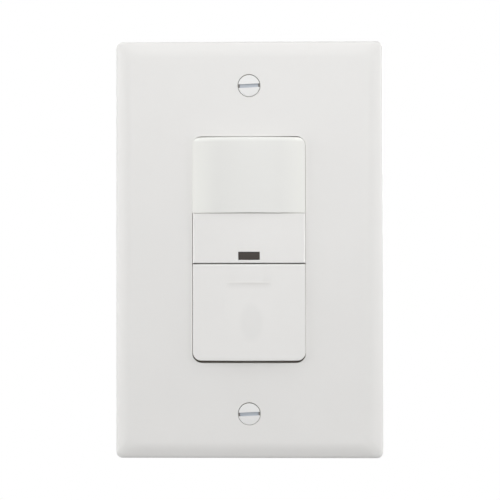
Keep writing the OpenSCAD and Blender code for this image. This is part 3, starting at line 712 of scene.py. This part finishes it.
def thread(name, d, start, turns):
    """A rolled thread along the depth: the section of one ridge, wound by the Screw modifier and capped."""
    fresh()
    bpy.ops.mesh.primitive_plane_add(size=1)
    ridge = bpy.context.object
    shape(ridge, "VERT")
    mesh = bmesh.from_edit_mesh(ridge.data)
    root, crest = d / 2 - RIDGE_H * THREAD_PITCH, d / 2
    half = [(root - BASE_SUNK, BASE_HALF), (root, ROOT_HALF), (crest, CREST_HALF)]
    section = [(r, -along) for r, along in half] + half[::-1]
    bmesh.ops.delete(mesh, geom=mesh.verts[:], context="VERTS")
    corners = [mesh.verts.new((r * MM, (start + along * THREAD_PITCH) * MM, 0)) for r, along in section]
    for a, b in zip(corners, corners[1:] + corners[:1]):
        mesh.edges.new((a, b))
    bmesh.update_edit_mesh(ridge.data)
    hold(ridge)
    step = ridge.modifiers.new("wind", "SCREW")
    step.axis, step.angle, step.screw_offset = "Y", 2 * math.pi, THREAD_PITCH * MM
    step.iterations, step.steps, step.render_steps = turns, THREAD_STEPS, THREAD_STEPS
    step.use_merge_vertices, step.merge_threshold = True, 1e-6
    bpy.ops.object.modifier_apply(modifier=step.name)
    cap_ends(ridge)
    ridge.name = name
    return ridge


print("threads rise", THREAD_PITCH, "mm a turn")

# %% Plate screws
HEAD_D, HEAD_RISE, HEAD_DEPTH, HEAD_SAG = 6.36, 0.5, 1.85, 0.06
DOME_R = (HEAD_D ** 2 / 4 + HEAD_RISE ** 2) / (2 * HEAD_RISE)
DOME_RINGS, DOME_SHARE, HEAD_BREAK = 9, 0.26, 0.09
NECK_D, SCREW_END = 3.3, 7.0
PLATE_THREAD_D, PLATE_THREAD_START, PLATE_THREAD_TURNS = 3.46, -1.6, 10
SLOT_W, SLOT_FLOOR, SLOT_TILT = 1.08, PLATE_Y + 0.5, math.radians(2.8)

screw = rod("plate_screw", HEAD_D, NECK_D, PLATE_Y, PLATE_Y + HEAD_DEPTH, sides=96)
shape(screw, "FACE")
choose(screw, "faces", lambda p: all(near(v.y, PLATE_Y) for v in p))
bpy.ops.mesh.inset(thickness=HEAD_BREAK * MM, depth=HEAD_BREAK * MM)
for k in range(DOME_RINGS):
    a, b = ((HEAD_D / 2 - HEAD_BREAK) * (1 - (k + i) / (DOME_RINGS + 0.5)) for i in (0, 1))
    rise = [math.sqrt(DOME_R ** 2 - r ** 2) for r in (a, b)]
    bpy.ops.mesh.inset(thickness=(a - b) * MM, depth=(rise[1] - rise[0]) * DOME_SHARE * MM)
bpy.ops.mesh.select_all(action="DESELECT")
choose(screw, "faces", lambda p: all(near(v.y, PLATE_Y + HEAD_DEPTH) for v in p))
shank = SCREW_END - PLATE_Y - HEAD_DEPTH
bpy.ops.mesh.extrude_region_move(TRANSFORM_OT_translate={"value": (0, shank * MM, 0)})
fresh()
slot = block("slot", (-6, PLATE_Y - 2, -SLOT_W / 2), (6, SLOT_FLOOR, SLOT_W / 2))
hold(slot)
slot.rotation_euler = (0, -SLOT_TILT, 0)
bpy.ops.object.transform_apply(rotation=True)
combine(screw, slot)
soften(screw, 0.06, 40, True)
ridge = thread("plate_screw_thread", PLATE_THREAD_D, PLATE_THREAD_START, PLATE_THREAD_TURNS)
screw = merged("plate_screw", [screw, ridge])
upper = copied(screw, "upper_screw", (0, 0, SCREW_Z - HEAD_SAG))
lower = copied(screw, "lower_screw", (0, 0, -SCREW_Z - HEAD_SAG))
bpy.data.objects.remove(screw)
plate_screws = merged("plate_screws_painted", [upper, lower])
polish(plate_screws, 30)
settle(plate_screws, "plate_screws", "screw_white")

# %% [markdown]
# ## The bowed face: lens and button
#
# The lens and the button bow out from side to side. A flat rectangle that stands upright, as deep as the
# piece, is spun a few degrees about a far upright axis, which gives a true arc. The bowed blank is then
# trimmed to the outline in the front view by a rounded block, and its sharp front edges are bevelled.

# %% Bowed blanks
FACE_X, FACE_R, FACE_EDGE_Y = 16.58, 2.55, -6.8
BLANK_BACK, BLANK_OVER, BOW_STEPS, TRIM = 1.0, 1.5, 72, 0.02
SIDE_FRONT, SIDE_RUN = -5, 0.02


def bowed(name, rise, z0, z1, round_low, round_high):
    """A blank with an arc across the face, whose lower and upper front edges are rounded."""
    radius = (FACE_X ** 2 + rise ** 2) / (2 * rise)
    front = FACE_EDGE_Y - rise
    half_turn = math.asin((FACE_X + BLANK_OVER) / radius)
    axis = Vector((0, (front + radius) * MM, 0))
    middle = Vector((0, (front + BLANK_BACK) / 2 - front - radius, (z0 + z1) / 2)) * MM
    turn = Matrix.Rotation(-half_turn, 3, "Z")
    fresh()
    bpy.ops.mesh.primitive_plane_add(size=1, location=axis + turn @ middle,
                                     rotation=(0, math.pi / 2, -half_turn))
    blank = bpy.context.object
    blank.scale = ((z1 - z0) * MM, (BLANK_BACK - front) * MM, 1)
    blank = started(name)
    for level, radius_here in ((z0, round_low), (z1, round_high)):
        shape(blank, "VERT")
        choose(blank, "verts", lambda p: near(p[0].z, level)
               and (p[0] * MM - axis).to_2d().length > (radius - 0.01) * MM)
        bpy.ops.mesh.bevel(offset=radius_here * MM, segments=7, profile=0.5, affect="VERTICES")
    shape(blank, "FACE")
    bpy.ops.mesh.select_all(action="SELECT")
    bpy.ops.mesh.spin(steps=BOW_STEPS, angle=-2 * half_turn, center=axis, axis=(0, 0, 1))
    bpy.ops.mesh.select_all(action="SELECT")
    bpy.ops.mesh.remove_doubles(threshold=1e-7)
    bpy.ops.mesh.normals_make_consistent(inside=False)
    fresh()
    box = [v.co / MM for v in blank.data.vertices]
    print(name, "bows by", rise, "mm; x", round(min(v.x for v in box), 2), round(max(v.x for v in box), 2),
          "y", round(min(v.y for v in box), 2))
    return blank


def hollow(piece, wall, floor_y, back_y):
    """A pocket in the flat back of a piece."""
    shape(piece, "FACE")
    choose(piece, "faces", lambda p: all(near(v.y, back_y) for v in p))
    bpy.ops.mesh.inset(thickness=wall * MM)
    bpy.ops.mesh.extrude_region_move(TRANSFORM_OT_translate={"value": (0, (floor_y - back_y) * MM, 0)})
    fresh()


def round_sides(piece, half_width, radius, segments):
    """Rounds the front edges along the two sides of a piece, and counts them."""
    def front_side(points):
        a, b = points
        beside = all(near(abs(v.x), half_width) and v.y < SIDE_FRONT for v in points)
        return beside and abs(a.z - b.z) > SIDE_RUN

    shape(piece, "EDGE")
    count = choose(piece, "edges", front_side)
    bpy.ops.mesh.bevel(offset=radius * MM, segments=segments, profile=0.5, affect="EDGES",
                       clamp_overlap=False)
    fresh()
    return count


print("the face is", 2 * FACE_X, "mm wide")

# %% [markdown]
# The lens is one milky shell. Its two upper corners follow the opening of the plate, its side edges are
# rounded broadly, and its lower edge stays crisp, because it stands on the band with only a hairline
# between them. The hairline opens a little in the middle, as in the photograph.

# %% Sensor lens
LENS_Z0, LENS_Z1, LENS_BULGE, LENS_BACK = 10.79, 33.15, 2.0, -2.8
LENS_X, LENS_SHIFT = FACE_X + 0.06, -0.07
LENS_ARCH, ARCH_STEP, ARCH_BAND = (6, 4.5, 3), 0.014, 0.06
LENS_WALL, LENS_FLOOR = 1.0, FACE_EDGE_Y + 1.2
LENS_LOW_R, LENS_TOP_R, LENS_SIDE_R = 0.03, 1.5, 0.9

lens = bowed("sensor_lens_shell", LENS_BULGE, LENS_Z0, LENS_Z1 + TRIM, LENS_LOW_R, LENS_TOP_R)
combine(lens, rounded_block("lens_outline", (-LENS_X, -14, LENS_Z0 - 3), (LENS_X, LENS_BACK, LENS_Z1),
                            FACE_R, ((-1, 1), (1, 1))), "INTERSECT")
hollow(lens, LENS_WALL, LENS_FLOOR, LENS_BACK)
for reach in LENS_ARCH:
    shape(lens, "VERT")
    choose(lens, "verts", lambda p: p[0].z < LENS_Z0 + ARCH_BAND and abs(p[0].x) < reach)
    bpy.ops.transform.translate(value=(0, 0, ARCH_STEP * MM))
fresh()
sides = round_sides(lens, LENS_X, LENS_SIDE_R, 5)
polish(lens, 40)
moved(lens, (LENS_SHIFT, 0, 0))
settle(lens, "sensor_lens", "lens_milky")
print("side edges rounded:", sides)

# %% [markdown]
# The button is a thicker shell with a finger scoop: below a straight lip the face dips quickly and comes
# forward again slowly. The scoop is cut with a block that is bisected at several heights, and whose back
# edges are moved to the depths of the dip. Its webs, pins and snap legs are joined on behind. They can't be
# seen in the photograph, and are made as such buttons have them.

# %% Push button shell and scoop
BUTTON_Z0, BUTTON_Z1, BUTTON_CROWN, BUTTON_BACK = -32.7, -4.32, 1.4, -3.847
CROWN_Y = FACE_EDGE_Y - BUTTON_CROWN
BUTTON_WALL, BUTTON_EDGE_R, BUTTON_SIDE_R = 1.5, 0.45, 0.35
SCOOP = {0: 0.09, 0.15: 0.14, 0.3: 0.17, 0.5: 0.2, 0.8: 0.225, 1.2: 0.24,
         1.6: 0.248, 2: 0.25, 3.5: 0.23, 6: 0.17, 9: 0.08, 11.5: 0}
SCOOP_HALF_W, SCOOP_FRONT = 12, CROWN_Y - 2

button = bowed("push_button_shell", BUTTON_CROWN, BUTTON_Z0 - TRIM, BUTTON_Z1 + TRIM,
               BUTTON_EDGE_R, BUTTON_EDGE_R)
combine(button, rounded_block("button_outline", (-FACE_X, -12, BUTTON_Z0), (FACE_X, BUTTON_BACK, BUTTON_Z1),
                              FACE_R, ((-1, -1), (1, -1))), "INTERSECT")
hollow(button, BUTTON_WALL, FACE_EDGE_Y + BUTTON_WALL, BUTTON_BACK)
round_sides(button, FACE_X, BUTTON_SIDE_R, 3)
scoop = block("scoop", (-SCOOP_HALF_W, SCOOP_FRONT, LIP_Z - max(SCOOP)), (SCOOP_HALF_W, CROWN_Y, LIP_Z))
for below in list(SCOOP)[1:-1]:
    shape(scoop, "FACE")
    bpy.ops.mesh.select_all(action="SELECT")
    bpy.ops.mesh.bisect(plane_co=(0, 0, (LIP_Z - below) * MM), plane_no=(0, 0, 1))
for below, depth in SCOOP.items():
    shape(scoop, "VERT")
    choose(scoop, "verts", lambda p: near(p[0].z, LIP_Z - below) and near(p[0].y, CROWN_Y))
    bpy.ops.transform.translate(value=(0, depth * MM, 0))
fresh()
combine(button, scoop)
print("scoop depth", max(SCOOP.values()), "mm")

# %% Push button webs, pins and legs
HINGE_Y, HINGE_Z, PIN_D = -3.9, -7.975, 1.8
WEB_FRONT, WEB_HALF = -6.9, 1.7
WEB_X, LEG_X, PIN_X = (9.06, 10.76), (7.0, 11.0), (9.3, 13.08)
LEG_FRONT, LEG_BACK, LEG_Z = -6.7, -0.05, (-22.675, -21.275)
BARB_FRONT, BARB_Z = -1.05, (-22.0, -20.475)
POST_D, POST_BACK, POST_Z = 4, -3.7, -21.975

for side in (-1, 1):
    web, leg, pin = (sorted(side * x for x in ends) for ends in (WEB_X, LEG_X, PIN_X))
    combine(button, block("web", (web[0], WEB_FRONT, HINGE_Z - WEB_HALF),
                          (web[1], HINGE_Y + PIN_D / 2, HINGE_Z + WEB_HALF)), "UNION")
    combine(button, bar("pin", PIN_D, *pin, HINGE_Y, HINGE_Z), "UNION")
    combine(button, block("leg", (leg[0], LEG_FRONT, LEG_Z[0]), (leg[1], LEG_BACK, LEG_Z[1])), "UNION")
    combine(button, block("barb", (leg[0], BARB_FRONT, BARB_Z[0]), (leg[1], LEG_BACK, BARB_Z[1])), "UNION")
combine(button, rod("post", POST_D, POST_D, LEG_FRONT, POST_BACK, 0, POST_Z), "UNION")
polish(button, 22)
settle(button, "push_button", "button_white")

# %% [markdown]
# ## The return spring
#
# The spring is one wound wire. A ring of wire thickness is wound by the Screw modifier, its two ends are
# capped, and it gets a mesh of its own. The button presses it.

# %% Return spring
SPRING_Z, SPRING_D, WIRE_D = -27.85, 4.2, 0.45
SPRING_STEPS, WIRE_SIDES = 36, 14
SPRING_FOOT, SPRING_TOP, SPRING_TURNS = -3.075, -6.425, 3.25

fresh()
bpy.ops.mesh.primitive_circle_add(vertices=WIRE_SIDES, radius=WIRE_D / 2 * MM,
                                  location=(SPRING_D / 2 * MM, SPRING_FOOT * MM, 0))
spring = started("return_spring_coil")
step = spring.modifiers.new("wind", "SCREW")
step.axis, step.angle = "Y", SPRING_TURNS * 2 * math.pi
step.screw_offset = (SPRING_TOP - SPRING_FOOT) * MM
step.steps = step.render_steps = round(SPRING_TURNS * SPRING_STEPS)
hold(spring)
bpy.ops.object.modifier_apply(modifier=step.name)
cap_ends(spring)
moved(spring, (0, 0, SPRING_Z))
polish(spring, 50)
settle(spring, "return_spring", "spring_steel")
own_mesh(spring)

# %% [markdown]
# ## Screws with rolled threads
#
# The two box screws stand out behind the strap, so their threads show. The same ridge is wound along a
# plain core, and one turn takes fewer than two hundred faces. The heads are rounded by a bevel and slotted.

# %% Box screws
BOX_SCREW_Z, BOX_HEAD_D, STRAP_FRONT = 41.67, 7.0, -1.2
BOX_HEAD_H, BOX_HEAD_R = 2.0, 0.7
BOX_SLOT_HALF, BOX_SLOT_FLOOR = 0.6, STRAP_FRONT - 1.0
CORE_D, CORE_FRONT, CORE_END = 2.72, STRAP_FRONT - 0.3, 22.9
POINT, POINT_SCALE = 1.1, 0.55
BOX_THREAD_D, BOX_THREAD_START, BOX_THREAD_TURNS = 3.5, 0.95, 28

core = rod("box_screw_core", CORE_D, CORE_D, CORE_FRONT, CORE_END, sides=48)
shape(core, "FACE")
choose(core, "faces", lambda p: all(near(v.y, CORE_END) for v in p))
bpy.ops.mesh.extrude_region_move(TRANSFORM_OT_translate={"value": (0, POINT * MM, 0)})
bpy.ops.transform.resize(value=(POINT_SCALE, 1, POINT_SCALE))
fresh()
head = rod("box_screw_head", BOX_HEAD_D, BOX_HEAD_D, STRAP_FRONT - BOX_HEAD_H, STRAP_FRONT, sides=72)
shape(head, "EDGE")
choose(head, "edges", lambda p: all(near(v.y, STRAP_FRONT - BOX_HEAD_H) for v in p))
bpy.ops.mesh.bevel(offset=BOX_HEAD_R * MM, segments=5, profile=0.5, affect="EDGES")
fresh()
combine(head, block("slot", (-6, STRAP_FRONT - 4, -BOX_SLOT_HALF), (6, BOX_SLOT_FLOOR, BOX_SLOT_HALF)))
soften(head, 0.06, 50, True)
ridge = thread("box_screw_thread", BOX_THREAD_D, BOX_THREAD_START, BOX_THREAD_TURNS)
one = merged("box_screw", [core, head, ridge])
upper = copied(one, "upper_box_screw", (0, 0, BOX_SCREW_Z))
lower = copied(one, "lower_box_screw", (0, 0, -BOX_SCREW_Z))
bpy.data.objects.remove(one)
box_screws = merged("box_screws_threaded", [upper, lower])
polish(box_screws, 35)
settle(box_screws, "box_screws", "screw_steel")

# %% [markdown]
# ## Pieces that keep the shape of their solids
#
# The cover, the housing, the strap and the terminals already have the right shape, but a solid's edges are
# perfectly sharp and real edges never are: they catch a thin line of light. Each gets a copy of its solid
# with the loose triangles merged, flat regions joined into single faces, and all sharp edges rounded by a
# small bevel.

# %% Soft-edged copies
def soft_copy(node, finish, width):
    """A copy of a solid with its triangles merged and its sharp edges rounded."""
    hold(nodes[node])
    bpy.ops.object.duplicate()
    piece = bpy.context.object
    piece.name = piece.data.name = node + "_soft"
    del piece["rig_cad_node"]
    shape(piece, "VERT")
    bpy.ops.mesh.select_all(action="SELECT")
    bpy.ops.mesh.remove_doubles(threshold=2e-7)
    bpy.ops.mesh.customdata_custom_splitnormals_clear()
    bpy.ops.mesh.dissolve_limited(angle_limit=math.radians(0.4))
    fresh()
    soften(piece, width, 40)
    polish(piece, 30)
    settle(piece, node, finish)


SOFT_COPIES = {
    "front_cover": ("cover_white", 0.03), "indicator_window": ("window_smoke", 0.1),
    "rear_housing": ("housing_grey", 0.25), "mounting_strap": ("strap_steel", 0.12),
    "screw_retainers": ("retainer_fibre", 0.06), "ground_screw": ("ground_green", 0.15),
    "contact_strips": ("contact_brass", 0.08), "wire_clamps": ("clamp_steel", 0.12),
    "hot_screws": ("terminal_brass", 0.12), "neutral_screws": ("terminal_nickel", 0.12),
    "case_screws": ("case_steel", 0.1),
}
for node, (finish, width) in SOFT_COPIES.items():
    soft_copy(node, finish, width)

# %% [markdown]
# ## Light, floor and background
#
# White things on white are lit softly from many sides: two lamps in front and above, whose light falls off
# down the plate, a large softbox on each side and one overhead, which draw the rolled edges. Two more stand
# behind, where only the back of the switch sees them. The powers of the first five were found by rendering
# each lamp alone, measuring the plate and the face in each picture, and solving for the sum that comes
# closest to the shades of the photograph.

# %% Lamps
LAMPS = {
    "front": ((0.05, -0.7, 0.2), 0.5, 0.682, 180),
    "near": ((0.02, -0.35, 0.15), 0.3, 0.364, 180),
    "left": ((-0.5, -0.15, 0.08), 0.5, 1.687, 180),
    "right": ((0.5, -0.15, 0.08), 0.5, 1.569, 180),
    "top": ((0.02, -0.15, 0.5), 0.5, 1.033, 180),
    "back_left": ((-0.22, 0.6, 0.25), 0.3, 0.26, 70),
    "back_right": ((0.25, 0.6, 0.15), 0.3, 0.26, 70),
}


def area_lamp(name, at, size, watts, spread):
    """A round softbox that looks at the middle of the plate, with the angle that its light spreads over."""
    fresh()
    bpy.ops.object.light_add(type="AREA", location=at)
    lamp = bpy.context.object
    lamp.name, lamp.data.shape = name, "DISK"
    lamp.data.size, lamp.data.energy, lamp.data.spread = size, watts, math.radians(spread)
    lamp.rotation_euler = (-Vector(at)).to_track_quat("-Z", "Y").to_euler()


for name, settings in LAMPS.items():
    area_lamp(name, *settings)
print("lamps:", len(LAMPS))

# %% [markdown]
# The room is seen white and lights weakly. The floor is a pale grey disc well below the switch. Near the
# switch it takes shadows as paper does; seen by the camera it turns into the white of the room with
# distance, so it has no edge. From below it is clear, so that it doesn't hide the switch there.

# %% Room and floor
ROOM_LIGHT = 0.08
FLOOR_Z, FLOOR_R, PAPER = -0.13, 0.3, (0.55, 0.55, 0.55, 1)
FADE_NEAR, FADE_FAR, FADE_LEAST = 0.04, 0.29, 0.3
WHITE_LIGHT = (1, 1, 1, 1)


def seen_directly(wires):
    """1 for what the camera sees, also in reflections and through clear pieces; 0 for light on surfaces."""
    camera_ray = wires.add("LightPath", output="Is Camera Ray")
    glossy_ray = wires.add("LightPath", output="Is Glossy Ray")
    clear_ray = wires.add("LightPath", output="Is Transmission Ray")
    return camera_ray.sum("MAXIMUM", camera_ray, glossy_ray.sum("MAXIMUM", glossy_ray, clear_ray))


world = bpy.data.worlds.new("room")
bpy.context.scene.world = world
room = Wiring(world)
lighting = room.add("Background", {}, {"Color": WHITE_LIGHT, "Strength": ROOM_LIGHT})
backdrop = room.add("Background", {}, {"Color": WHITE_LIGHT, "Strength": 1.0})
surround = room.add("MixShader", {}, {"Fac": seen_directly(room), 1: lighting, 2: backdrop})
room.add("OutputWorld", {}, {"Surface": surround}, None)
bpy.context.scene.view_settings.view_transform = "Standard"

fresh()
bpy.ops.mesh.primitive_circle_add(vertices=96, radius=FLOOR_R, fill_type="NGON", location=(0, 0, FLOOR_Z))
floor = started("floor")
paper = bpy.data.materials.new("floor_white")
sheet = Wiring(paper)
place = sheet.add("TexCoord", output="Object")
reach = sheet.add("VectorMath", {"operation": "LENGTH"}, {0: place}, "Value")
fade_range = {"Value": reach, "From Min": FADE_NEAR, "From Max": FADE_FAR, "To Min": FADE_LEAST}
fade = sheet.add("MapRange", {"interpolation_type": "SMOOTHSTEP"}, fade_range, "Result")
matt = sheet.add("BsdfDiffuse", {}, {"Color": PAPER})
white = sheet.add("Emission", {}, {"Color": WHITE_LIGHT, "Strength": 1.0})
mixed = sheet.add("MixShader", {}, {"Fac": fade * seen_directly(sheet), 1: matt, 2: white})
below = sheet.add("NewGeometry", output="Backfacing")
clear = sheet.add("BsdfTransparent")
one_way = sheet.add("MixShader", {}, {"Fac": below, 1: mixed, 2: clear})
sheet.add("OutputMaterial", {}, {"Surface": one_way}, None)
floor.data.materials.append(paper)
print("floor radius", FLOOR_R, "m")
